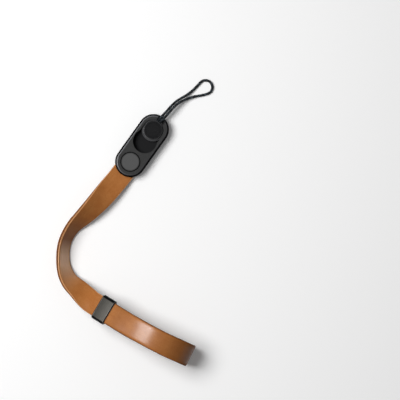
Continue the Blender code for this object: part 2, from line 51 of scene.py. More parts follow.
# %% [markdown]
# ## The camera
# The strap lies on a table in the curve that the photograph shows, and the camera looks straight down
# on it. Its height and lens follow from the housing's size in the picture, and it is rolled so that
# the housing points to the upper right. A long lens keeps the picture nearly free of perspective.

# %% Camera straight above the strap
UP = Vector((0, 0, 1))
CAMERA_PLACE = (0.0682, -0.00915, 1.93)
CAMERA_ROLL = math.radians(35.5)
LENS_MM = 200
SENSOR_MM = 36
scene = bpy.context.scene


def link(thing):
    scene.collection.objects.link(thing)
    return thing


camera_data = bpy.data.cameras.new("camera")
camera_data.lens = LENS_MM
camera_data.sensor_width = SENSOR_MM
camera = link(bpy.data.objects.new("camera", camera_data))
camera.location = CAMERA_PLACE
camera.rotation_euler = (0, 0, CAMERA_ROLL)
scene.camera = camera
scene.view_settings.view_transform = "Standard"
print("camera at", CAMERA_PLACE)

# %% [markdown]
# ## Node maths as plain expressions
# A procedural material is a lot of small sums. Node by node they are hard to read, so one small class
# wraps a socket: an operator on it adds a Math node, and `node` adds any other kind. A material is
# then written as a short function, and so is a Geometry Nodes tree.


# %% A socket that can be used in expressions
class Value:
    """A node's socket. Operators add Math nodes, and numbers alone stay in Python."""

    def __init__(self, tree, socket=None):
        self.tree = tree
        self.socket = socket

    def node(self, kind, settings=None, inputs=None, output=0):
        """Adds any node: its settings first, then the values or links of its sockets."""
        made = self.tree.nodes.new(kind)
        for name, value in (settings or {}).items():
            if name == "stops":
                set_stops(made.color_ramp, value)
            else:
                setattr(made, name, value)
        for name, value in (inputs or {}).items():
            if isinstance(value, Value):
                self.tree.links.new(value.socket, made.inputs[name])
            else:
                made.inputs[name].default_value = value
        return Value(self.tree, made.outputs[output])

    def beside(self, output):
        """Another output of the same node."""
        return Value(self.tree, self.socket.node.outputs[output])

    def math(self, operation, *values):
        return self.node("ShaderNodeMath", {"operation": operation}, dict(enumerate(values)))

    def __add__(self, other):
        return self.math("ADD", self, other)

    def __sub__(self, other):
        return self.math("SUBTRACT", self, other)

    def __rsub__(self, other):
        return self.math("SUBTRACT", other, self)

    def __mul__(self, other):
        return self.math("MULTIPLY", self, other)

    def __truediv__(self, other):
        return self.math("DIVIDE", self, other)

    __radd__ = __add__
    __rmul__ = __mul__

    def lower(self, other):
        return self.math("MINIMUM", self, other)

    def higher(self, other):
        return self.math("MAXIMUM", self, other)

    def size(self):
        return self.math("ABSOLUTE", self)

    def step(self, start, end):
        """0 below start, 1 above end and a smooth step between; start may be the larger one."""
        low, high = min(start, end), max(start, end)
        settings = {"interpolation_type": "SMOOTHSTEP"}
        inputs = {"Value": self, "From Min": low, "From Max": high,
                  "To Min": float(start > end), "To Max": float(end >= start)}
        return self.node("ShaderNodeMapRange", settings, inputs)

    def rays(self, *kinds):
        """1 for rays of these kinds and 0 for all others."""
        found = [self.node("ShaderNodeLightPath", output=f"Is {kind} Ray") for kind in kinds]
        return reduce(Value.higher, found)

    def mix(self, first, second):
        """The first colour where this is 0, the second where it is 1."""
        return self.node("ShaderNodeMix", {"data_type": "RGBA"}, {0: self, 6: first, 7: second}, 2)


def set_stops(ramp, stops):
    """Gives a colour ramp its stops, as (position, colour) pairs."""
    while len(ramp.elements) < len(stops):
        ramp.elements.new(1)
    for element, (position, colour) in zip(ramp.elements, stops):
        element.position = position
        element.color = colour


def rgb(red, green, blue):
    """A colour picked from the photograph, 0 to 255, as Blender's linear colour."""
    def linear(part):
        part /= 255
        return part / 12.92 if part <= 0.04045 else ((part + 0.055) / 1.055) ** 2.4
    return (linear(red), linear(green), linear(blue), 1.0)


def grey(level):
    return (level, level, level, 1)


print("expressions ready")


# %% A new material and the coordinates it reads
class Finish(Value):
    """A new material: its Principled shader and a few ways to ask where a point is."""

    def __init__(self, name, **constants):
        self.material = bpy.data.materials.new(name)
        self.material.use_nodes = True
        super().__init__(self.material.node_tree)
        self.shader = self.tree.nodes["Principled BSDF"]
        for socket, value in constants.items():
            self.shader.inputs[socket.replace("_", " ")].default_value = value

    def set(self, socket, value):
        self.tree.links.new(value.socket, self.shader.inputs[socket])

    def place(self):
        """The point in the object's own metres."""
        return self.node("ShaderNodeTexCoord", output="Object")

    def parts(self, vector):
        """X, Y and Z of a vector."""
        split = self.node("ShaderNodeSeparateXYZ", inputs={0: vector})
        return [split.beside(axis) for axis in "XYZ"]

    def attribute(self, name):
        """A number that the mesh keeps for each point."""
        return self.node("ShaderNodeAttribute", {"attribute_name": name}, output="Fac")

    def radius(self, x, y):
        """Distance from an upright axis."""
        return self.math("SQRT", x * x + y * y)

    def vector(self, x, y, z=0.0):
        return self.node("ShaderNodeCombineXYZ", inputs={0: x, 1: y, 2: z})

    def noise(self, vector, size, detail=3.0, rough=0.5):
        """Cloudy noise whose lumps are about size metres wide."""
        inputs = {"Vector": vector, "Scale": 1 / size, "Detail": detail, "Roughness": rough}
        return self.node("ShaderNodeTexNoise", {}, inputs)

    def cells(self, vector, size):
        """Distance to the nearest cell's middle, for cells about size metres wide."""
        inputs = {"Vector": vector, "Scale": 1 / size}
        return self.node("ShaderNodeTexVoronoi", {}, inputs)

    def bump(self, height, distance, strength=1.0):
        """Relief of that height in metres where height goes from 0 to 1."""
        inputs = {"Height": height, "Distance": distance, "Strength": strength}
        self.set("Normal", self.node("ShaderNodeBump", {}, inputs))


print("finish helper ready")

# %% [markdown]
# ## The two strands of cord
# The anchor's braided cord, about 2 mm thick, goes out through the housing's end, round in a loop and
# back. The route is the model's own: a middle line with the distance between the two strands. Past
# the housing they sink under their own weight, and the loop lies on the table.


# %% A smooth line through chosen points
def spline(rows, step):
    """A smooth curve through the middle of some rows of numbers; the end rows only aim it."""
    rows = [np.array(row, dtype=float) for row in rows]
    curve = []
    for before, start, end, after in zip(rows, rows[1:], rows[2:], rows[3:]):
        pieces = max(1, round(np.linalg.norm((end - start)[:3]) / step))
        for i in range(pieces):
            t = i / pieces
            curve.append(0.5 * (2 * start + (end - before) * t
                                + (2 * before - 5 * start + 4 * end - after) * t ** 2
                                + (3 * start - before - 3 * end + after) * t ** 3))
    curve.append(rows[-2])
    return curve


def headings(places):
    """Unit directions along a row of places."""
    last = len(places) - 1
    return [(places[min(i + 1, last)] - places[max(i - 1, 0)]).normalized() for i in range(last + 1)]


def length_of(places):
    return sum((after - before).length for before, after in zip(places, places[1:]))


print("curve helpers ready")

# %% The cord's route
SEAT_Y = 0.0165
BUTTON_RADIUS = 0.0084
CORD_RADIUS = 0.00105
CORD_START_INSET = 0.0016  # from the button's rim in to where the strands begin
CORD_START_Y = SEAT_Y + BUTTON_RADIUS - CORD_START_INSET
CORD_PATH_STEP = 0.0006
CORD_ARC_STEPS = 6
CORD_ROUTE = (  # x, y beyond the start, height, half the distance between strands
    (-0.0002, 0.0, 0.0076, 0.0012),
    (0.0000, 0.0045, 0.0076, 0.0012),
    (0.0006, 0.0080, 0.0076, 0.0012),
    (0.0012, 0.0120, 0.0076, 0.0012),
    (0.0016, 0.0160, 0.0076, 0.0012),
    (0.0020, 0.0195, 0.0075, 0.0012),
    (0.0032, 0.0250, 0.0065, 0.0012),
    (0.0053, 0.0300, 0.0047, 0.0013),
    (0.0078, 0.0350, 0.0028, 0.0017),
    (0.0104, 0.0400, 0.0015, 0.0029),
    (0.0130, 0.0450, 0.00105, 0.0047),
    (0.0152, 0.0500, 0.00105, 0.0060),
)


def cord_line(step):
    """Out along one strand, round the end and back along the other."""
    rows = [(x, CORD_START_Y + beyond, z, half) for x, beyond, z, half in CORD_ROUTE]
    places = [Vector(row[:3]) for row in rows]
    aims = headings(places)
    sides = [Vector((aim.y, -aim.x, 0)).normalized() for aim in aims]
    outward = [place - side * row[3] for place, side, row in zip(places, sides, rows)]
    homeward = [place + side * row[3] for place, side, row in zip(places, sides, rows)]
    forward = Vector((aims[-1].x, aims[-1].y, 0)).normalized()
    arc = []
    for i in range(1, CORD_ARC_STEPS):
        angle = math.pi * i / CORD_ARC_STEPS
        turn = forward * math.sin(angle) - sides[-1] * math.cos(angle)
        arc.append(places[-1] + turn * rows[-1][3])
    route = outward + arc + homeward[::-1]
    aimed = [route[0] * 2 - route[1]] + route + [route[-1] * 2 - route[-2]]
    return [Vector(point) for point in spline(aimed, step)]


cord_path = cord_line(CORD_PATH_STEP)
print("cord", round(length_of(cord_path) * 1000, 1), "mm")


# %% Small helpers for Geometry Nodes
def new_tree(name, sockets):
    """An empty tree and its named inputs, which are given with their types."""
    tree = bpy.data.node_groups.new(name, "GeometryNodeTree")
    tree.interface.new_socket("Geometry", in_out="INPUT", socket_type="NodeSocketGeometry")
    for label, kind in sockets.items():
        tree.interface.new_socket(label, in_out="INPUT", socket_type=f"NodeSocket{kind}")
    tree.interface.new_socket("Geometry", in_out="OUTPUT", socket_type="NodeSocketGeometry")
    outputs = tree.nodes.new("NodeGroupInput").outputs
    return tree, {socket.name: Value(tree, socket) for socket in outputs}


def store(geometry, name, domain, value):
    """Keeps a number as a named attribute."""
    return geometry.node("GeometryNodeStoreNamedAttribute", {"data_type": "FLOAT", "domain": domain},
                         {"Geometry": geometry, "Name": name, "Value": value})


def finish_tree(geometry, material):
    """Realize Instances and Set Material, because only real meshes are exported."""
    real = geometry.node("GeometryNodeRealizeInstances", {}, {"Geometry": geometry})
    dressed = real.node("GeometryNodeSetMaterial", {}, {"Geometry": real, "Material": material})
    end = real.tree.nodes.new("NodeGroupOutput")
    real.tree.links.new(dressed.socket, end.inputs[0])


print("node helpers ready")


# %% A line as a mesh, and the result as a plain mesh
def line_object(name, places, closed=False, vectors=None):
    """A string of edges; vectors gives each point a named direction."""
    mesh = bpy.data.meshes.new(name)
    count = len(places)
    edges = [(i, i + 1) for i in range(count - 1)]
    if closed:
        edges.append((count - 1, 0))
    mesh.from_pydata([tuple(place) for place in places], edges, [])
    for label, values in (vectors or {}).items():
        attribute = mesh.attributes.new(label, "FLOAT_VECTOR", "POINT")
        attribute.data.foreach_set("vector", np.array([tuple(v) for v in values], np.float32).ravel())
    return link(bpy.data.objects.new(name, mesh))


def plain_mesh(thing):
    """The mesh that an object is once its modifiers have run."""
    bpy.context.view_layer.update()
    return bpy.data.meshes.new_from_object(thing.evaluated_get(bpy.context.evaluated_depsgraph_get()))


def run_tree(base, tree, values, name):
    """Runs a tree on an object, and gives back the result as a plain mesh object."""
    step = base.modifiers.new(tree.name, "NODES")
    step.node_group = tree
    for item in tree.interface.items_tree:
        if item.in_out == "INPUT" and item.name in values:
            step[item.identifier] = values[item.name]
    mesh = plain_mesh(base)
    mesh.name = name
    base.modifiers.remove(step)
    bpy.data.objects.remove(base)
    return link(bpy.data.objects.new(name, mesh))


def face_outwards(thing, sharp=None):
    """Turns the faces out and shades them smooth, but for folds of more than sharp degrees."""
    bm = bmesh.new()
    bm.from_mesh(thing.data)
    bmesh.ops.recalc_face_normals(bm, faces=bm.faces)
    if bm.calc_volume(signed=True) < 0:
        bmesh.ops.reverse_faces(bm, faces=bm.faces)
    bm.to_mesh(thing.data)
    bm.free()
    thing.data.shade_smooth()
    if sharp:
        thing.data.set_sharp_from_angle(angle=math.radians(sharp))
    print(thing.name, len(thing.data.polygons), "faces")


print("line helpers ready")

# %% [markdown]
# ## The braid, with Geometry Nodes
# A round braid is a few yarns that wind both ways round a core and pass over and under each other.
# That is one rule repeated, so a tree does it: it copies the cord's line once for each yarn, moves
# each copy out to its own helix, and lifts it where it passes over. A thin section is then swept
# along every yarn. A dark core fills what shows between them.


# %% The braid's tree
YARN_SIDES = 6


def braid_tree():
    tree, given = new_tree("braid", {
        "Yarns": "Int", "Pitch": "Float", "Radius": "Float", "Lift": "Float",
        "Yarn Width": "Float", "Material": "Material"})
    start = Value(tree)
    line = start.node("GeometryNodeMeshToCurve", {}, {"Mesh": given["Geometry"]})
    copies = start.node("GeometryNodeDuplicateElements", {"domain": "SPLINE"},
                        {"Geometry": line, "Amount": given["Yarns"]}, "Geometry")
    numbered = store(copies, "yarn", "CURVE", copies.beside("Duplicate Index"))
    yarn = start.node("GeometryNodeInputNamedAttribute", {"data_type": "FLOAT"}, {"Name": "yarn"})
    half = given["Yarns"] / 2
    way = 1 - start.math("GREATER_THAN", yarn, half - 0.5) * 2
    wound = start.node("GeometryNodeSplineParameter", output="Length") / given["Pitch"] * math.tau
    angle = wound * way + yarn / half * math.tau
    over = start.math("SINE", wound * half + yarn * math.pi) * (way * given["Lift"])
    reach = given["Radius"] + over
    normal = start.node("GeometryNodeInputNormal")
    tangent = start.node("GeometryNodeInputTangent")

    def vector_math(operation, inputs):
        return start.node("ShaderNodeVectorMath", {"operation": operation}, inputs)

    side = vector_math("CROSS_PRODUCT", {0: tangent, 1: normal})
    first = vector_math("SCALE", {0: normal, "Scale": start.math("COSINE", angle) * reach})
    second = vector_math("SCALE", {0: side, "Scale": start.math("SINE", angle) * reach})
    offset = vector_math("ADD", {0: first, 1: second})
    moved = start.node("GeometryNodeSetPosition", {}, {"Geometry": numbered, "Offset": offset})
    section = start.node("GeometryNodeCurvePrimitiveCircle", {},
                         {"Resolution": YARN_SIDES, "Radius": given["Yarn Width"] / 2})
    swept = start.node("GeometryNodeCurveToMesh", {},
                       {"Curve": moved, "Profile Curve": section, "Fill Caps": True})
    finish_tree(swept, given["Material"])
    return tree


braid_nodes = braid_tree()
print("braid tree with", len(braid_nodes.nodes), "nodes")


# %% The cord's finish: dark fibre with a few pale yarns
PALE_SPREAD = 0.377  # scatters the pale yarns among the dark ones


def cord_fibre():
    made = Finish("cord_fibre", Roughness=0.55, Specular_IOR_Level=0.4)
    place = made.place()
    yarn = made.attribute("yarn")
    fleck = made.noise(place, 0.0009, 2.0)
    fibre = made.noise(place, 0.00012, 2.0)
    pale = made.math("FRACT", yarn * PALE_SPREAD).step(0.80, 0.9)
    base = fleck.step(0.35, 0.7).mix(rgb(16, 18, 20), rgb(34, 39, 44))
    made.set("Base Color", pale.mix(base, rgb(96, 108, 117)))
    made.set("Roughness", 0.38 + fibre * 0.3)
    made.bump(fibre, 0.00003, 0.6)
    return made.material


cord_finish = cord_fibre()
print("cord finish ready")

# %% Make the braided cord
YARNS = 16
BRAID_PITCH = 0.0064
BRAID_STEP = 0.00035
BRAID_RADIUS = 0.00097
BRAID_LIFT = 0.00007
BRAID_YARN_WIDTH = 0.00037
CORE_RADIUS = 0.00085
CORE_STEP = 0.0012
CORE_ROUNDNESS = 3


def tube_mesh(name, places):
    """The core: a plain round tube along some places."""
    curve = bpy.data.curves.new(name, "CURVE")
    curve.dimensions = "3D"
    curve.bevel_depth = CORE_RADIUS
    curve.bevel_resolution = CORE_ROUNDNESS
    curve.use_fill_caps = True
    run = curve.splines.new("POLY")
    run.points.add(len(places) - 1)
    for point, place in zip(run.points, places):
        point.co = (*place, 1)
    holder = link(bpy.data.objects.new(name, curve))
    mesh = plain_mesh(holder)
    bpy.data.objects.remove(holder)
    return link(bpy.data.objects.new(name, mesh))


cord_guide = line_object("cord_line", cord_line(BRAID_STEP))
braid = run_tree(cord_guide, braid_nodes, {
    "Yarns": YARNS, "Pitch": BRAID_PITCH, "Radius": BRAID_RADIUS, "Lift": BRAID_LIFT,
    "Yarn Width": BRAID_YARN_WIDTH, "Material": cord_finish}, "cord_braid")
face_outwards(braid)
core = tube_mesh("cord_core", cord_line(CORE_STEP))
core.data.materials.append(cord_finish)
face_outwards(core)


# %% Join the braid and its core into the cord
def join(name, pieces):
    """One object from several; the first one keeps its attributes."""
    bpy.ops.object.select_all(action="DESELECT")
    for piece in pieces:
        piece.select_set(True)
    bpy.context.view_layer.objects.active = pieces[0]
    bpy.ops.object.join()
    pieces[0].name = name
    return pieces[0]


cord = join("anchor_cord_braided", [braid, core])
length_of(cord_path)
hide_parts("anchor_cord")
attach(cord, "anchor")

# %% [markdown]
# ## The leather strip
# The real strip is one piece of smooth tan leather with rounded, painted edges. It runs from the
# housing as the upper layer, through the keeper, round the cuff and back as the lower layer. A band
# that follows a path is a sweep: the tree turns a line of points into a curve, takes each point's
# own face direction for the twist, and carries the leather's section along it. It also keeps how
# far along and round the strip each point is. The grain follows these, and so do a polish where the
# leather is rubbed, painted shade on the bend, past the keeper and at the cuff's far end, a painted
# sheen on the bend, and a painted highlight on the edges' paint along the lead.

# %% Sizes of the strip, the housing and the keeper
GAP = 0.0003
STRAP_WIDTH = 0.0195
STRAP_THICKNESS = 0.0014
STRAP_STEP = 0.0011
STACK = STRAP_THICKNESS + GAP / 2
LAYER_OFFSET = (STRAP_THICKNESS + GAP) / 2
BACK_THICKNESS = 0.0016
STRAP_CLEARANCE = 0.0004  # round the strip in the housing's slot
STRAP_Z = BACK_THICKNESS + STRAP_CLEARANCE + STACK
STRAP_END_Y = -0.011
MOUTH_Y = -0.0305
KEEPER_LENGTH = 0.0126
KEEPER_PITCH = math.radians(19.6)
KEEPER_YAW = math.radians(4.8)
KEEPER_TURN = Matrix.Rotation(KEEPER_YAW, 3, "Z") @ Matrix.Rotation(-KEEPER_PITCH, 3, "Y")
KEEPER_AXIS = KEEPER_TURN @ Vector((1, 0, 0))
RUN_BEFORE_KEEPER = 0.0072
RUN_AFTER_KEEPER = 0.0013
LEAD_ROUTE = (  # x, distance beyond the mouth, lower edge's height, lean in degrees
    (-0.0010, 0.0145, 0.0038, 7),
    (-0.0025, 0.0310, 0.0048, 27),
    (-0.0045, 0.0450, 0.0040, 42),
    (-0.0075, 0.0630, 0.0010, 61),
    (-0.0050, 0.0780, 0.0003, 65),
    (0.0040, 0.0920, 0.0004, 62),
    (0.0155, 0.1000, 0.0034, 51),
    (0.0300, 0.1025, 0.0098, 31),
    (0.0432, 0.1041, 0.0188, 0),
)
CUFF_ROUTE = (  # beyond the run, lower face's height, aside, raised edge in degrees
    (0.0135, 0.0325, -0.0008, 4),
    (0.0275, 0.0370, -0.0013, 4),
    (0.0425, 0.0398, -0.0016, 4),
    (0.0570, 0.0392, -0.0016, 4),
    (0.0690, 0.0335, -0.0015, 3),
    (0.0762, 0.0235, -0.0018, 1),
    (0.0752, 0.0117, -0.0025, 0),
    (0.0665, 0.0030, -0.0033, 0),
    (0.0535, 0.0003, -0.0040, 0),
    (0.0400, 0.0012, -0.0040, 0),
    (0.0285, 0.0066, -0.0034, 0),
    (0.0205, 0.0155, -0.0026, 0),
    (0.0145, 0.0244, -0.0016, 0),
    (0.0070, 0.0277, -0.0007, 0),
)
CUFF_YAW = math.radians(8.8)
CUFF_TURN_LENGTH = 0.025
print("strip", STRAP_WIDTH * 1000, "by", STRAP_THICKNESS * 1000, "mm")


# %% Where the doubled lead runs
def lead_stations():
    """Place, direction across and face normal of the doubled strap, from its ends to the cuff."""
    inside = (STRAP_END_Y, (STRAP_END_Y + MOUTH_Y) / 2, MOUTH_Y)
    rows = [(0, y, STRAP_Z, 0) for y in inside]
    for x, beyond, low, lean in LEAD_ROUTE:
        angle = math.radians(lean)
        rise = STRAP_WIDTH / 2 * math.sin(angle) + STACK * math.cos(angle)
        rows.append((x, MOUTH_Y - beyond, low + rise, angle))
    run_start = Vector(rows[-1][:3])
    run_length = RUN_BEFORE_KEEPER + KEEPER_LENGTH + RUN_AFTER_KEEPER
    run_steps = round(run_length / STRAP_STEP)
    run = [run_start + KEEPER_AXIS * run_length * i / run_steps for i in range(1, run_steps + 1)]
    aim = (*(run_start + KEEPER_AXIS * KEEPER_LENGTH), 0)
    curve = spline(rows[1:] + [aim], STRAP_STEP)
    stations = [(Vector(row[:3]), row[3]) for row in rows[:2] + curve[1:]]
    stations += [(place, 0) for place in run]
    framed = []
    for (place, lean), along in zip(stations, headings([place for place, lean in stations])):
        level = UP.cross(along).normalized()
        across = level * math.cos(lean) - along.cross(level) * math.sin(lean)
        framed.append((place, across, along.cross(across)))
    return framed


lead = lead_stations()
print("lead", round(length_of([station[0] for station in lead]) * 1000), "mm")


# %% Where the cuff runs
def cuff_stations(lead_end):
    """The single strip between the two layers: over the top, round the far end and back below."""
    middle, across, normal = lead_end
    leaving = middle + normal * LAYER_OFFSET
    arriving = middle - normal * LAYER_OFFSET
    level = Vector((math.cos(CUFF_YAW), math.sin(CUFF_YAW), 0))
    sideways = UP.cross(level)
    rows = [(*(leaving - KEEPER_AXIS * KEEPER_LENGTH), 0), (*leaving, 0)]
    for beyond, height, aside, raised in CUFF_ROUTE:
        place = Vector((middle.x, middle.y, 0)) + level * beyond + sideways * aside
        rows.append((place.x, place.y, height + STRAP_THICKNESS / 2, math.radians(raised)))
    rows += [(*arriving, 0), (*(arriving - KEEPER_AXIS * KEEPER_LENGTH), 0)]
    curve = spline(rows, STRAP_STEP)
    places = [Vector(row[:3]) for row in curve]
    travelled = [0.0]
    for before, after in zip(places, places[1:]):
        travelled.append(travelled[-1] + (after - before).length)
    framed = []
    for row, place, along, length in zip(curve, places, headings(places), travelled):
        turn = min(length, travelled[-1] - length, CUFF_TURN_LENGTH) / CUFF_TURN_LENGTH
        eased = turn * turn * (3 - 2 * turn)
        width = across.lerp(sideways * math.cos(row[3]) + UP * math.sin(row[3]), eased)
        width = (width - along * width.dot(along)).normalized()
        framed.append((place, width, along.cross(width)))
    return framed[1:-1]


front_layer = [(place + normal * LAYER_OFFSET, normal) for place, across, normal in lead]
back_layer = [(place - normal * LAYER_OFFSET, -normal) for place, across, normal in lead[::-1]]
cuff = [(place, normal) for place, across, normal in cuff_stations(lead[-1])]
strip_line = front_layer + cuff + back_layer
print("strip", round(length_of([place for place, normal in strip_line]) * 1000), "mm long")


# %% The leather's section
EDGE_POINTS = 9
FACE_POINTS = 11
EDGE_PULL = 0.00004  # the faces are this much thinner next to their edges


def leather_section():
    """Rounded edges and two faces; X is the leather's thickness and Y its width."""
    edge = STRAP_THICKNESS / 2
    flat = STRAP_WIDTH / 2 - edge
    points = []
    for side in (1, -1):
        for i in range(EDGE_POINTS):
            angle = math.pi / 2 - math.pi * i / (EDGE_POINTS - 1)
            points.append((side * (edge - EDGE_PULL) * math.sin(angle),
                           side * (flat + edge * math.cos(angle)), 0))
        for i in range(1, FACE_POINTS + 1):
            share = i / (FACE_POINTS + 1)
            y = flat * (1 - 2 * share)
            pull = EDGE_PULL * (2 * abs(share - 0.5)) ** 6
            points.append((-side * (edge - pull), side * y, 0))
    half = EDGE_POINTS // 2
    return points[half:] + points[:half]


section = line_object("leather_section", leather_section(), closed=True)
ring = [Vector(point) for point in leather_section()]
SECTION_ROUND = length_of(ring + ring[:1])
print("section is", round(SECTION_ROUND * 1000, 2), "mm round")


# %% The sweep's tree
def sweep_tree():
    tree, given = new_tree("sweep_strip", {"Section": "Object", "Material": "Material"})
    start = Value(tree)
    line = start.node("GeometryNodeMeshToCurve", {}, {"Mesh": given["Geometry"]})
    facing = start.node("GeometryNodeInputNamedAttribute", {"data_type": "FLOAT_VECTOR"}, {"Name": "face"})
    twisted = start.node("GeometryNodeSetCurveNormal", {"mode": "FREE"}, {"Curve": line, "Normal": facing})
    reach = start.node("GeometryNodeSplineParameter", output="Length")
    measured = store(twisted, "along", "POINT", reach)
    shape = start.node("GeometryNodeObjectInfo", {}, {"Object": given["Section"]}, "Geometry")
    outline = start.node("GeometryNodeMeshToCurve", {}, {"Mesh": shape})
    rounded = store(outline, "around", "POINT", reach)
    swept = start.node("GeometryNodeCurveToMesh", {},
                       {"Curve": measured, "Profile Curve": rounded, "Fill Caps": True})
    finish_tree(swept, given["Material"])
    return tree


sweep_nodes = sweep_tree()
print("sweep tree with", len(sweep_nodes.nodes), "nodes")


# %% Where the leather is rubbed, darkened and stretched
WEAR_LENGTH = 0.36  # the strip's front, from the housing over the cuff's far end
POLISH = (  # along the strip in metres, share of the wax polish
    (0.020, 0.25), (0.060, 0.10), (0.092, 0.05), (0.112, 0.90), (0.124, 0.60), (0.142, 0.05),
    (0.172, 0.0), (0.192, 0.30), (0.205, 0.90), (0.225, 1.00), (0.245, 0.45), (0.350, 0.35),
)
PAINTED_SHADE = (  # along the strip, share of the painted shade on the bend, past the keeper and at the cuff's far end
    (0.034, 0.0), (0.072, 0.10), (0.095, 0.30), (0.115, 0.1), (0.150, 0.0), (0.179, 0.0),
    (0.187, 0.30), (0.198, 0.0), (0.222, 0.0), (0.240, 0.50), (0.262, 0.85), (0.300, 0.70), (0.350, 0.3),
)
PAINTED_SHEEN = (  # along the strip, share of the painted sheen on the bend
    (0.094, 0.0), (0.108, 1.00), (0.117, 1.00), (0.126, 0.35), (0.140, 0.0),
)
EDGE_HIGHLIGHT_ENDS = (0.165, 0.185)  # along the strip, where the edge paint's painted highlight ends and the paint turns dark
PAINT_WIDTH = 0.00105  # from the middle of the edge round to where the paint ends
PRESSED_LINE = 0.0015  # from there round to the pressed line


def along_ramp(made, along, rows):
    """A smooth course of grey levels along the strip."""
    stops = [(reach / WEAR_LENGTH, grey(share)) for reach, share in rows]
    return made.node("ShaderNodeValToRGB", {"stops": stops}, {0: along / WEAR_LENGTH})


# %% The leather's finish
def tan_leather():
    """Smooth tan leather: fine grain, cloudy colour, painted shade, a painted sheen, painted edges with a
    painted highlight along the lead, and a pressed line beside them.
    """
    made = Finish("tan_leather", Roughness=0.4, Specular_IOR_Level=0.06, Coat_Roughness=0.24)
    along = made.attribute("along")
    around = made.attribute("around")
    half_round = SECTION_ROUND / 2
    on_side = made.math("MODULO", around, half_round)
    from_edge = on_side.lower(half_round - on_side)
    surface = made.vector(along, around)

    grain = made.cells(surface, 0.00055)
    pores = made.noise(surface, 0.00028, 2.0)
    clouds = made.noise(surface, 0.011, 4.0, 0.6)
    streaks = made.noise(made.vector(along * 0.25, around), 0.0016)
    creases = made.noise(made.vector(along, around * 0.22), 0.0011)

    dye_and_painted_light = clouds.step(0.3, 0.72).mix(rgb(181, 118, 64), rgb(170, 106, 54))
    dye_and_painted_light = (streaks.step(0.5, 0.75) * 0.35).mix(dye_and_painted_light, rgb(160, 97, 47))
    dye_and_painted_light = (grain.step(0.35, 0.8) * 0.22).mix(dye_and_painted_light, rgb(142, 82, 38))
    # painted shade: the leather is painted darker where the bend, the keeper's shadow and the cuff's far
    # end lie in shade
    dye_and_painted_light = (along_ramp(made, along, PAINTED_SHADE) * 0.8).mix(dye_and_painted_light, rgb(112, 66, 30))
    # painted sheen: a pale tan on the bend that stands in for its reflection of the table
    painted_sheen_share = along_ramp(made, along, PAINTED_SHEEN) * (0.7 + streaks * 0.4)
    dye_and_painted_light = painted_sheen_share.mix(dye_and_painted_light, rgb(240, 186, 138))
    burnish = from_edge.step(0.0021, 0.0012) * 0.55
    dye_and_painted_light = burnish.mix(dye_and_painted_light, rgb(148, 88, 44))
    paint = from_edge.step(PAINT_WIDTH + 0.00007, PAINT_WIDTH - 0.00007)
    # the edge paint, with a painted highlight: pale along the lead where the rounded edge catches light,
    # dark past the bend
    painted = along.step(*EDGE_HIGHLIGHT_ENDS).mix(rgb(204, 148, 102), rgb(122, 76, 42))
    made.set("Base Color", paint.mix(dye_and_painted_light, painted))

    on_face = from_edge.step(0.0012, 0.0042)
    made.set("Coat Weight", along_ramp(made, along, POLISH) * on_face * (0.8 + clouds * 0.4))
    rough = 0.36 + clouds * 0.1 + grain * 0.05
    made.set("Roughness", rough * (1 - paint * 0.15))
    pressed = 1 - (from_edge - PRESSED_LINE).size().step(0.0002, 0.0)
    relief = grain * 0.35 + pores * 0.25 + creases * 0.4
    made.bump(relief * (1 - paint * 0.7) + pressed * 1.2, 0.00006, 0.6)
    return made.material


leather_finish = tan_leather()
print("leather finish ready")

# %% Sweep the strip
EDGE_FOLD = 50  # in degrees: its ends stay sharp and its edges smooth
strip_guide = line_object("strip_line", [place for place, normal in strip_line],
                          vectors={"face": [normal for place, normal in strip_line]})
strap = run_tree(strip_guide, sweep_nodes, {
    "Section": section, "Material": leather_finish}, "strap_leather")
bpy.data.objects.remove(section)
face_outwards(strap, EDGE_FOLD)

# %% [markdown]
# ## The housing
# The housing is moulded in one piece with a long round outline. Its track is cut by the same shapes
# as in the model, only rounder, and a Bevel modifier breaks the edges, so that they catch the light
# as moulded edges do. The face has a fine spark-eroded texture. A narrow polished slope runs round
# it with a painted highlight on its left side, and outside that the rim falls away in a rounded
# shoulder, painted near black for its shade. The track and the pocket are painted darker as shade.


# %% Solids from outlines and profiles
ROUND_STEPS = 120
HOLE_STEPS = 32


def new_mesh(name, bm, finish=None):
    bmesh.ops.recalc_face_normals(bm, faces=bm.faces)
    mesh = bpy.data.meshes.new(name)
    bm.to_mesh(mesh)
    bm.free()
    if finish:
        mesh.materials.append(finish)
    return link(bpy.data.objects.new(name, mesh))


def loft(loops, closed=False):
    """Skins loops of equally many points; a run that isn't closed gets flat ends."""
    bm = bmesh.new()
    rows = [[bm.verts.new(point) for point in loop] for loop in loops]
    pairs = list(zip(rows, rows[1:])) + ([(rows[-1], rows[0])] if closed else [])
    for first, second in pairs:
        for i in range(len(first)):
            j = (i + 1) % len(first)
            bm.faces.new((first[i], first[j], second[j], second[i]))
    if not closed:
        bm.faces.new(rows[0][::-1])
        bm.faces.new(rows[-1])
    return bm


def arc(x, y, radius, start, end, steps):
    """Points on a circle round x, y, from one angle to another."""
    angles = [start + (end - start) * i / steps for i in range(steps + 1)]
    return [(x + radius * math.cos(angle), y + radius * math.sin(angle)) for angle in angles]


def capsule(half_run, radius, z, middle_y=0.0):
    """A loop with two round ends, its straight sides along Y."""
    half = ROUND_STEPS // 2
    loop = arc(0, middle_y + half_run, radius, 0, math.pi, half)
    loop += arc(0, middle_y - half_run, radius, math.pi, math.tau, half)
    return [(x, y, z) for x, y in loop]


def turned(profile, middle_y, steps=ROUND_STEPS):
    """A round solid from (radius, height) points, as loops from the bottom to the top."""
    return loft([[(x, y, height) for x, y in arc(0, middle_y, radius, 0, math.tau, steps)[:-1]]
                 for radius, height in profile])


def drill(radius, low, high, middle_y, steps=ROUND_STEPS):
    """An upright round cutter."""
    return turned(((radius, low), (radius, high)), middle_y, steps)


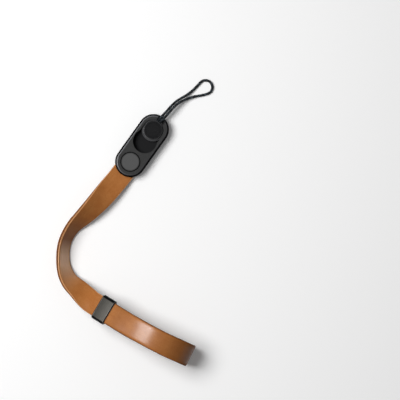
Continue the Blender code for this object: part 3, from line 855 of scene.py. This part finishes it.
def block(low, high):
    corners = ((low[0], low[1]), (high[0], low[1]), (high[0], high[1]), (low[0], high[1]))
    return loft([[(x, y, z) for x, y in corners] for z in (low[2], high[2])])


print("solid helpers ready")


# %% Cutting and breaking edges
BEVEL_SEGMENTS = 2
BEVEL_ANGLE = math.radians(35)  # folds sharper than this are rounded
SHARP_ANGLE = math.radians(11)  # and those sharper than this are kept out of the smooth shading


def apply_modifiers(thing):
    mesh = plain_mesh(thing)
    thing.modifiers.clear()
    thing.data = mesh


def cut(target, *solids):
    """Takes each solid's volume out of the target for good."""
    for number, bm in enumerate(solids):
        guide = new_mesh(f"{target.name}_cut_{number}", bm)
        step = target.modifiers.new("cut", "BOOLEAN")
        step.operation = "DIFFERENCE"
        step.solver = "EXACT"
        step.object = guide
        apply_modifiers(target)
        bpy.data.objects.remove(guide)


def break_edges(thing, width):
    """A small round on every real edge, with smooth faces between."""
    step = thing.modifiers.new("broken_edges", "BEVEL")
    step.width = width
    step.segments = BEVEL_SEGMENTS
    step.limit_method = "ANGLE"
    step.angle_limit = BEVEL_ANGLE
    step.harden_normals = True
    step.miter_outer = "MITER_ARC"
    thing.data.shade_smooth()
    thing.data.set_sharp_from_angle(angle=SHARP_ANGLE)
    apply_modifiers(thing)


print("cutters ready")

# %% The housing's sizes
HOUSING_HEIGHT = 0.010
END_RADIUS = 0.01325
END_Y = 0.01725
SHELL_BOTTOM = 0.0019
POCKET_Y = 0.0046
TRACK_FLOOR = 0.0038
TRACK_ROOF = 0.0078
TRACK_HALF_WIDTH = 0.0103
POCKET_RADIUS = 0.0104
SLOT_HALF_WIDTH = 0.0092
SLOT_ROOF = 0.0055
SLOT_END_SPARE = 0.0005
CAP_SEAT = 0.0088
CAP_FOOT_RADIUS = 0.0084
CORD_GAP_LEFT = 0.0028
CORD_GAP_RIGHT = 0.0046
CORD_GAP_FLOOR = 0.00625
POST_RADIUS = 0.0015
THROUGH = 0.001
print("housing", END_RADIUS * 2000, "by", (END_RADIUS + END_Y) * 2000, "mm")


# %% Pierce both ends of the strip for the post, and set it in the model strap's place
cut(strap, drill(POST_RADIUS + GAP, THROUGH, HOUSING_HEIGHT, -END_Y, HOLE_STEPS))
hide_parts("strap")
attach(strap, "strap_body")
print("pierced strip", len(strap.data.polygons), "faces")


# %% The rim's measures
SHOULDER_RADIUS = 0.0018
SLOPE = math.radians(13)
SLOPE_WIDTH = 0.0008
SHOULDER_WIDTH = SHOULDER_RADIUS * (1 - math.sin(SLOPE))
SHOULDER_STEPS = 9
SHELL_EDGE = 0.00018
TRACK_REACH = 0.0122  # the track, pocket and cap's seat are nearer to the middle line
print("black rim", round(SHOULDER_WIDTH * 1000, 2), "mm wide")


# %% The shell's finish: textured face, a polished slope with a painted highlight, painted shade on the rim and inside
def shell_plastic():
    made = Finish("shell_plastic", Roughness=0.5, IOR=1.06, Specular_IOR_Level=1.0, Coat_Roughness=0.3)
    place = made.place()
    x, y, z = made.parts(place)
    past_end = (y.size() - END_Y).higher(0.0)
    radius = made.radius(x, past_end)
    face_radius = END_RADIUS - SHOULDER_WIDTH - SLOPE_WIDTH
    rim = radius.step(END_RADIUS - SHOULDER_WIDTH - 0.00005, END_RADIUS - SHOULDER_WIDTH + 0.0001)
    line = radius.step(face_radius - 0.0001, face_radius + 0.00005) * (1 - rim)
    over_track = radius.step(TRACK_REACH + 0.0004, TRACK_REACH - 0.0004)
    inside = z.step(HOUSING_HEIGHT - 0.0004, HOUSING_HEIGHT - 0.0012) * over_track
    speckle = made.noise(place, 0.00022, 2.0)
    patches = made.noise(place, 0.004)
    base = speckle.step(0.35, 0.72).mix(rgb(56, 56, 56), rgb(71, 71, 71))
    base = (patches * 0.25).mix(base, rgb(52, 52, 52))
    wall = z.step(HOUSING_HEIGHT - 0.0012, HOUSING_HEIGHT - 0.003)
    # painted shade: the shoulder is painted near black for the shade on its steep faces, dark grey down the
    # walls
    base = rim.mix(base, wall.mix(rgb(5, 5, 5), rgb(40, 40, 41)))
    # painted highlight: the polished slope is painted light on the left, where it faces the lamps, and
    # darker on the right
    base = line.mix(base, x.step(-0.013, 0.012).mix(rgb(98, 98, 101), rgb(62, 62, 64)))
    # painted shade: the track and the pocket are painted darker inside
    made.set("Base Color", inside.mix(base, rgb(35, 35, 36)))
    made.set("Roughness", 0.42 + speckle * 0.2 + rim * (1 - wall) * 0.3)
    made.set("Coat Weight", line * (1 - inside) * 0.6)
    made.bump(speckle * (1 - rim * (1 - wall) * 0.8) * (1 - line), 0.00003, 0.7)
    return made.material


shell_finish = shell_plastic()
print("shell finish ready")


# %% Make the shell
def shell_levels():
    """Straight sides, a rounded shoulder and a narrow slope up to the face."""
    slope_foot = HOUSING_HEIGHT - SLOPE_WIDTH * math.tan(SLOPE)
    centre = slope_foot - SHOULDER_RADIUS * math.cos(SLOPE)
    shoulder = arc(END_RADIUS - SHOULDER_RADIUS, centre, SHOULDER_RADIUS, 0, math.pi / 2 - SLOPE,
                   SHOULDER_STEPS)
    face = (END_RADIUS - SHOULDER_WIDTH - SLOPE_WIDTH, HOUSING_HEIGHT)
    return [(END_RADIUS, SHELL_BOTTOM)] + shoulder + [face]


def slot(half_width, low, high):
    """A cutter along the anchor's way, from its seat to the pocket."""
    half_way = (SEAT_Y - POCKET_Y) / 2
    middle = (SEAT_Y + POCKET_Y) / 2
    return loft([capsule(half_way, half_width, z, middle) for z in (low, high)])


above = HOUSING_HEIGHT + THROUGH
shell = new_mesh("housing_shell", loft([capsule(END_Y, r, z) for r, z in shell_levels()]), shell_finish)
cut(shell,
    slot(TRACK_HALF_WIDTH, TRACK_FLOOR, TRACK_ROOF),
    slot(SLOT_HALF_WIDTH, TRACK_FLOOR + GAP, above),
    drill(POCKET_RADIUS, TRACK_FLOOR, above, POCKET_Y),
    drill(CAP_FOOT_RADIUS + GAP, CAP_SEAT, above, -END_Y),
    drill(POST_RADIUS + GAP, SHELL_BOTTOM - THROUGH, CAP_SEAT + GAP, -END_Y, HOLE_STEPS),
    block((-STRAP_WIDTH / 2 - GAP, MOUTH_Y - THROUGH, SHELL_BOTTOM - THROUGH),
          (STRAP_WIDTH / 2 + GAP, STRAP_END_Y + SLOT_END_SPARE, SLOT_ROOF)),
    block((-CORD_GAP_LEFT, SEAT_Y, CORD_GAP_FLOOR), (CORD_GAP_RIGHT, END_Y + END_RADIUS + THROUGH, above)))
break_edges(shell, SHELL_EDGE)
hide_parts("housing_front")
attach(shell, "strap_body")
print("shell", len(shell.data.polygons), "faces")

# %% [markdown]
# ## The cap and the anchor
# Both are round, so a profile turned about an upright axis makes them: the cap is a pale disc over
# the pin, the anchor's button has a turned groove and a tunnel where the cord goes in. Fine circular
# lines on the button are too small to model, so its material adds them as relief.


# %% Finishes of the round pieces
LINE_SPACING = 0.00045  # of the button's circular lines


def cap_plastic():
    made = Finish("cap_plastic", Roughness=0.5, Specular_IOR_Level=0.07)
    place = made.place()
    speckle = made.noise(place, 0.00025, 2.0)
    patches = made.noise(place, 0.003)
    x, y, z = made.parts(place)
    radius = made.radius(x, y + END_Y)
    base = speckle.step(0.3, 0.75).mix(rgb(82, 82, 82), rgb(95, 95, 95))
    base = (patches * 0.3).mix(base, rgb(78, 78, 79))
    base = radius.step(0.0066, 0.0076).mix(base, rgb(66, 66, 66))
    # painted shade: the cap's rounded edge is painted near black for the shade in the gap round it
    made.set("Base Color", radius.step(0.00775, 0.0079).mix(base, rgb(6, 6, 6)))
    made.set("Roughness", 0.45 + speckle * 0.2)
    made.bump(speckle, 0.00002, 0.7)
    return made.material


def anchor_plastic():
    made = Finish("anchor_plastic", Roughness=0.45, Specular_IOR_Level=0.08, Coat_Roughness=0.3)
    place = made.place()
    x, y, z = made.parts(place)
    radius = made.radius(x, y - SEAT_Y)
    lines = made.math("SINE", radius * (math.tau / LINE_SPACING)) * 0.5 + 0.5
    scuffs = made.noise(place, 0.0012, 4.0, 0.65)
    base = scuffs.step(0.4, 0.75).mix(rgb(26, 26, 27), rgb(41, 41, 43))
    base = (lines * 0.35).mix(base, rgb(19, 19, 20))
    # painted highlight: a lighter ring on the button's rounded edge
    made.set("Base Color", radius.step(0.0078, 0.0080).mix(base, rgb(62, 62, 64)))
    made.set("Roughness", 0.38 + scuffs * 0.25)
    made.set("Coat Weight", radius.step(0.0076, 0.0079) * 0.7)
    made.bump(lines * radius.step(0.0009, 0.0014), 0.00002, 0.8)
    return made.material


cap_finish = cap_plastic()
anchor_finish = anchor_plastic()
print("round finishes ready")


# %% Turn the cap and the button
def rounded(radius, height, edge, steps):
    """A quarter round at the top of a round piece, as (radius, height) points."""
    return arc(radius - edge, height - edge, edge, 0, math.pi / 2, steps)


CAP_RADIUS = 0.0080
CAP_BOTTOM = 0.0091
CAP_FOOT_TOP = CAP_BOTTOM + 0.0003
CAP_EDGE = 0.00025
BUTTON_BOTTOM = 0.0078
BUTTON_TOP = 0.0097
BUTTON_EDGE = 0.0005
BUTTON_SKIN = 0.0009  # left above the tunnel that the cord enters
TUNNEL_REACH = 0.011  # from the button's middle out past its rim
TOP_INNER = 0.003  # radius of the flat polygon in the middle of both tops
RING_RADIUS = 0.0062
RING_WIDTH = 0.0005
RING_DEPTH = 0.00025
cap = new_mesh("cap_disc", turned(
    [(CAP_FOOT_RADIUS, CAP_BOTTOM), (CAP_FOOT_RADIUS, CAP_FOOT_TOP), (CAP_RADIUS, CAP_FOOT_TOP)]
    + rounded(CAP_RADIUS, HOUSING_HEIGHT, CAP_EDGE, 3) + [(TOP_INNER, HOUSING_HEIGHT)], -END_Y), cap_finish)
button = new_mesh("anchor_disc", turned(
    [(BUTTON_RADIUS, BUTTON_BOTTOM)] + rounded(BUTTON_RADIUS, BUTTON_TOP, BUTTON_EDGE, 5)
    + [(RING_RADIUS + RING_WIDTH / 2, BUTTON_TOP), (RING_RADIUS + RING_WIDTH / 4, BUTTON_TOP - RING_DEPTH),
       (RING_RADIUS - RING_WIDTH / 4, BUTTON_TOP - RING_DEPTH), (RING_RADIUS - RING_WIDTH / 2, BUTTON_TOP),
       (TOP_INNER, BUTTON_TOP)], SEAT_Y), anchor_finish)
cord_x, cord_y, cord_z, half_spread = CORD_ROUTE[0]
tunnel_half = half_spread + CORD_RADIUS + GAP
cut(button, block((cord_x - tunnel_half, CORD_START_Y - GAP, cord_z - CORD_RADIUS - GAP),
                  (cord_x + tunnel_half, SEAT_Y + TUNNEL_REACH, BUTTON_TOP - BUTTON_SKIN)))
break_edges(cap, width=0.00005)
break_edges(button, width=0.00006)
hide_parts("post_cap")
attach(cap, "strap_body")
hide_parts("anchor_button")
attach(button, "anchor")
print("cap", len(cap.data.polygons), "faces, button", len(button.data.polygons), "faces")

# %% [markdown]
# ## The keeper
# A dark metal sleeve on a plastic liner that grips both layers. Its loop is a rounded rectangle and
# its ends are rolled. The face is brushed across the strap, the rounded sides are black, and a
# painted highlight lightens the rolled ends.


# %% The keeper's finish
KEEPER_MIDDLE = lead[-1][0] - KEEPER_AXIS * (RUN_AFTER_KEEPER + KEEPER_LENGTH / 2)
LINER_WALL = 0.0004
LINER_CORNER = 0.0012
LINER_LIP = 0.0003  # length of the liner's lip at each end
SLEEVE_HALF_WIDTH = STRAP_WIDTH / 2 + GAP + LINER_WALL + GAP
SLEEVE_HALF_DEPTH = STACK + GAP + LINER_WALL + GAP
SLEEVE_CORNER = LINER_CORNER + LINER_WALL + GAP
SLEEVE_WALL = 0.0007
SLEEVE_HALF_LENGTH = KEEPER_LENGTH / 2 - LINER_LIP - GAP
SIDE_BLACK = 0.0022  # width of the black sides, seen from the face
SLEEVE_MEASURES = ("along", "across", "deep")


def gunmetal():
    made = Finish("gunmetal", Metallic=0.7, Roughness=0.5, Specular_IOR_Level=0.2)
    along, across, deep = [made.attribute(name) for name in SLEEVE_MEASURES]
    brushed = made.noise(made.vector(along, across * 0.04, deep), 0.00018)
    patches = made.noise(made.place(), 0.003)
    half = SLEEVE_HALF_WIDTH + SLEEVE_WALL
    side = across.size().step(half - SIDE_BLACK - 0.0004, half - SIDE_BLACK + 0.0003)
    end = along.size().step(SLEEVE_HALF_LENGTH - 0.00045, SLEEVE_HALF_LENGTH - 0.0003)
    base = brushed.step(0.3, 0.7).mix(rgb(80, 78, 74), rgb(94, 92, 87))
    base = (patches * 0.3).mix(base, rgb(72, 70, 67))
    base = side.mix(base, rgb(14, 14, 15))
    # painted highlight: the rolled ends are painted light, less so on the black sides
    made.set("Base Color", (end * (1 - side * 0.7)).mix(base, rgb(150, 147, 142)))
    made.set("Roughness", 0.42 + brushed * 0.16)
    made.bump(brushed, 0.000015, 0.6)
    return made.material


keeper_finish = gunmetal()
print("keeper at", tuple(round(part, 4) for part in KEEPER_MIDDLE))


# %% Make the sleeve
CORNER_STEPS = 8
ROLL_STEPS = 6


def rounded_loop(along, half_width, half_depth, corner):
    """A rounded rectangle across the keeper's axis: X along, Y across, Z deep."""
    loop = []
    for quarter, (side_y, side_z) in enumerate(((1, 1), (-1, 1), (-1, -1), (1, -1))):
        loop += arc(side_y * (half_width - corner), side_z * (half_depth - corner), corner,
                    math.pi / 2 * quarter, math.pi / 2 * (quarter + 1), CORNER_STEPS)
    return [(along, y, z) for y, z in loop]


def sleeve_profile():
    """(along, height over the inner wall): flat inside, with rolled ends."""
    edge = SLEEVE_WALL / 2
    roll = SLEEVE_HALF_LENGTH - edge
    near = arc(roll, edge, edge, -math.pi / 2, math.pi / 2, ROLL_STEPS)
    return near + arc(-roll, edge, edge, math.pi / 2, math.pi * 1.5, ROLL_STEPS)


sleeve = new_mesh("keeper_metal", loft(
    [rounded_loop(along, SLEEVE_HALF_WIDTH + height, SLEEVE_HALF_DEPTH + height, SLEEVE_CORNER + height)
     for along, height in sleeve_profile()], closed=True), keeper_finish)
for part, name in enumerate(SLEEVE_MEASURES):
    measured = sleeve.data.attributes.new(name, "FLOAT", "POINT")
    measured.data.foreach_set("value", [vertex.co[part] for vertex in sleeve.data.vertices])
sleeve.data.transform(Matrix.Translation(KEEPER_MIDDLE) @ KEEPER_TURN.to_4x4())
sleeve.data.shade_smooth()
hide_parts("keeper_sleeve")
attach(sleeve, "keeper")
print("sleeve", len(sleeve.data.polygons), "faces")

# %% [markdown]
# ## Pieces kept from the model
# The cover, the screws, the pin, the leaf spring, the anchor's flange and the keeper's liner have the
# right shape already. They only need their finishes.


# %% Finishes for the kept pieces
def moulded(name, dark, pale, roughness, lump):
    """Moulded plastic with a fine texture."""
    made = Finish(name, Specular_IOR_Level=0.4)
    place = made.place()
    speckle = made.noise(place, lump, 2.0)
    patches = made.noise(place, lump * 16)
    base = speckle.step(0.3, 0.72).mix(dark, pale)
    made.set("Base Color", (patches * 0.3).mix(base, dark))
    made.set("Roughness", roughness + speckle * 0.2)
    made.bump(speckle, 0.00002, 0.7)
    return made.material


def dark_steel():
    made = Finish("dark_steel", Metallic=1.0, Roughness=0.35)
    place = made.place()
    turned_lines = made.noise(place, 0.0002)
    stains = made.noise(place, 0.002)
    made.set("Base Color", stains.mix(rgb(88, 88, 90), rgb(112, 112, 114)))
    made.set("Roughness", 0.28 + turned_lines * 0.25)
    made.bump(turned_lines, 0.00001, 0.6)
    return made.material


steel_finish = dark_steel()
cover_finish = moulded("cover_plastic", rgb(36, 36, 38), rgb(46, 46, 48), 0.5, 0.00025)
liner_finish = moulded("liner_plastic", rgb(22, 22, 23), rgb(32, 32, 34), 0.45, 0.0002)
kept = {"housing_back": cover_finish, "keeper_liner": liner_finish, "strap_post": steel_finish,
        "anchor_spring": steel_finish, "anchor_flange": anchor_finish}
kept.update({f"housing_screw_{number}": steel_finish for number in range(1, 5)})
for node, finish in kept.items():
    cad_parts[node].data.materials.clear()
    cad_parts[node].data.materials.append(finish)
print("kept", sorted(kept))

# %% [markdown]
# ## Table and light
# A pale table, two lamps on the housing's side and a low even sky. The broad key lamp gives the light
# and the soft shadow, and isn't reflected. The small glint lamp is only reflected, and stands where
# the highlight on the cuff says. The table is white to the camera and in reflections, and throws
# little light back up, so the leather's far faces stay dark.


# %% The table
TABLE_RADIUS = 4.0
TABLE_BOTTOM = -0.02
TABLE_TOP = -0.0001
TABLE_LIT = 0.35  # how much light it throws back on the strap
TABLE_SEEN = 0.97  # how pale the camera and reflections show it
TABLE_GLOW = 0.08  # and how much whiter than its light makes it


def table_finish():
    made = Finish("table", Roughness=0.9, Specular_IOR_Level=0.0, Emission_Strength=1.0)
    seen = made.rays("Camera", "Glossy", "Transmission")
    made.set("Base Color", seen.mix(grey(TABLE_LIT), grey(TABLE_SEEN)))
    made.set("Emission Color", seen.mix(grey(0), grey(TABLE_GLOW)))
    return made.material


table = new_mesh("table", drill(TABLE_RADIUS, TABLE_BOTTOM, TABLE_TOP, 0), table_finish())
print("table ready")

# %% Sky and lamps
SKY_LEVEL = 0.14
BACKDROP_TOP = 0.3  # the white backdrop fades out between these heights of a unit sphere
BACKDROP_BOTTOM = 0.05
LIT_PLACE = Vector((0.05, -0.08, 0.02))
LAMP_DISTANCE = 1.3
KEY_TILT = math.radians(31)
KEY_SIZE = 0.8
KEY_LEVEL = 1.0  # brightness of a white surface that faces the lamp
GLINT_TILT = math.radians(23)
GLINT_YAW = math.radians(26)
GLINT_SIZE = 0.3
GLINT_LEVEL = 0.42


def sky():
    world = bpy.data.worlds.new("sky")
    scene.world = world
    world.use_nodes = True
    tree = world.node_tree
    start = Value(tree)
    direction = start.node("ShaderNodeTexCoord", output="Generated")
    height = start.node("ShaderNodeSeparateXYZ", inputs={0: direction}, output="Z")
    backdrop = height.step(BACKDROP_TOP, BACKDROP_BOTTOM)
    seen = start.rays("Camera").higher(start.rays("Glossy", "Transmission") * backdrop)
    background = tree.nodes["Background"]
    background.inputs["Color"].default_value = grey(1)
    strength = seen * (1 - SKY_LEVEL) + SKY_LEVEL
    tree.links.new(strength.socket, background.inputs["Strength"])


sky()


def soft_lamp(name, tilt, yaw, size, level):
    """A round area lamp that leans back from straight above, towards -X turned by the yaw."""
    data = bpy.data.lights.new(name, "AREA")
    data.shape = "DISK"
    data.size = size
    data.energy = level * math.pi * math.pi * LAMP_DISTANCE ** 2
    lamp = link(bpy.data.objects.new(name, data))
    toward = Vector((-math.sin(tilt) * math.cos(yaw), -math.sin(tilt) * math.sin(yaw), math.cos(tilt)))
    lamp.location = LIT_PLACE + toward * LAMP_DISTANCE
    lamp.rotation_euler = toward.to_track_quat("Z", "Y").to_euler()
    return lamp


key = soft_lamp("key", KEY_TILT, CUFF_YAW, KEY_SIZE, KEY_LEVEL)
key.visible_glossy = False
glint = soft_lamp("glint", GLINT_TILT, GLINT_YAW, GLINT_SIZE, GLINT_LEVEL)
glint.visible_diffuse = False
print("lamps at", [tuple(round(part, 2) for part in lamp.location) for lamp in (key, glint)])
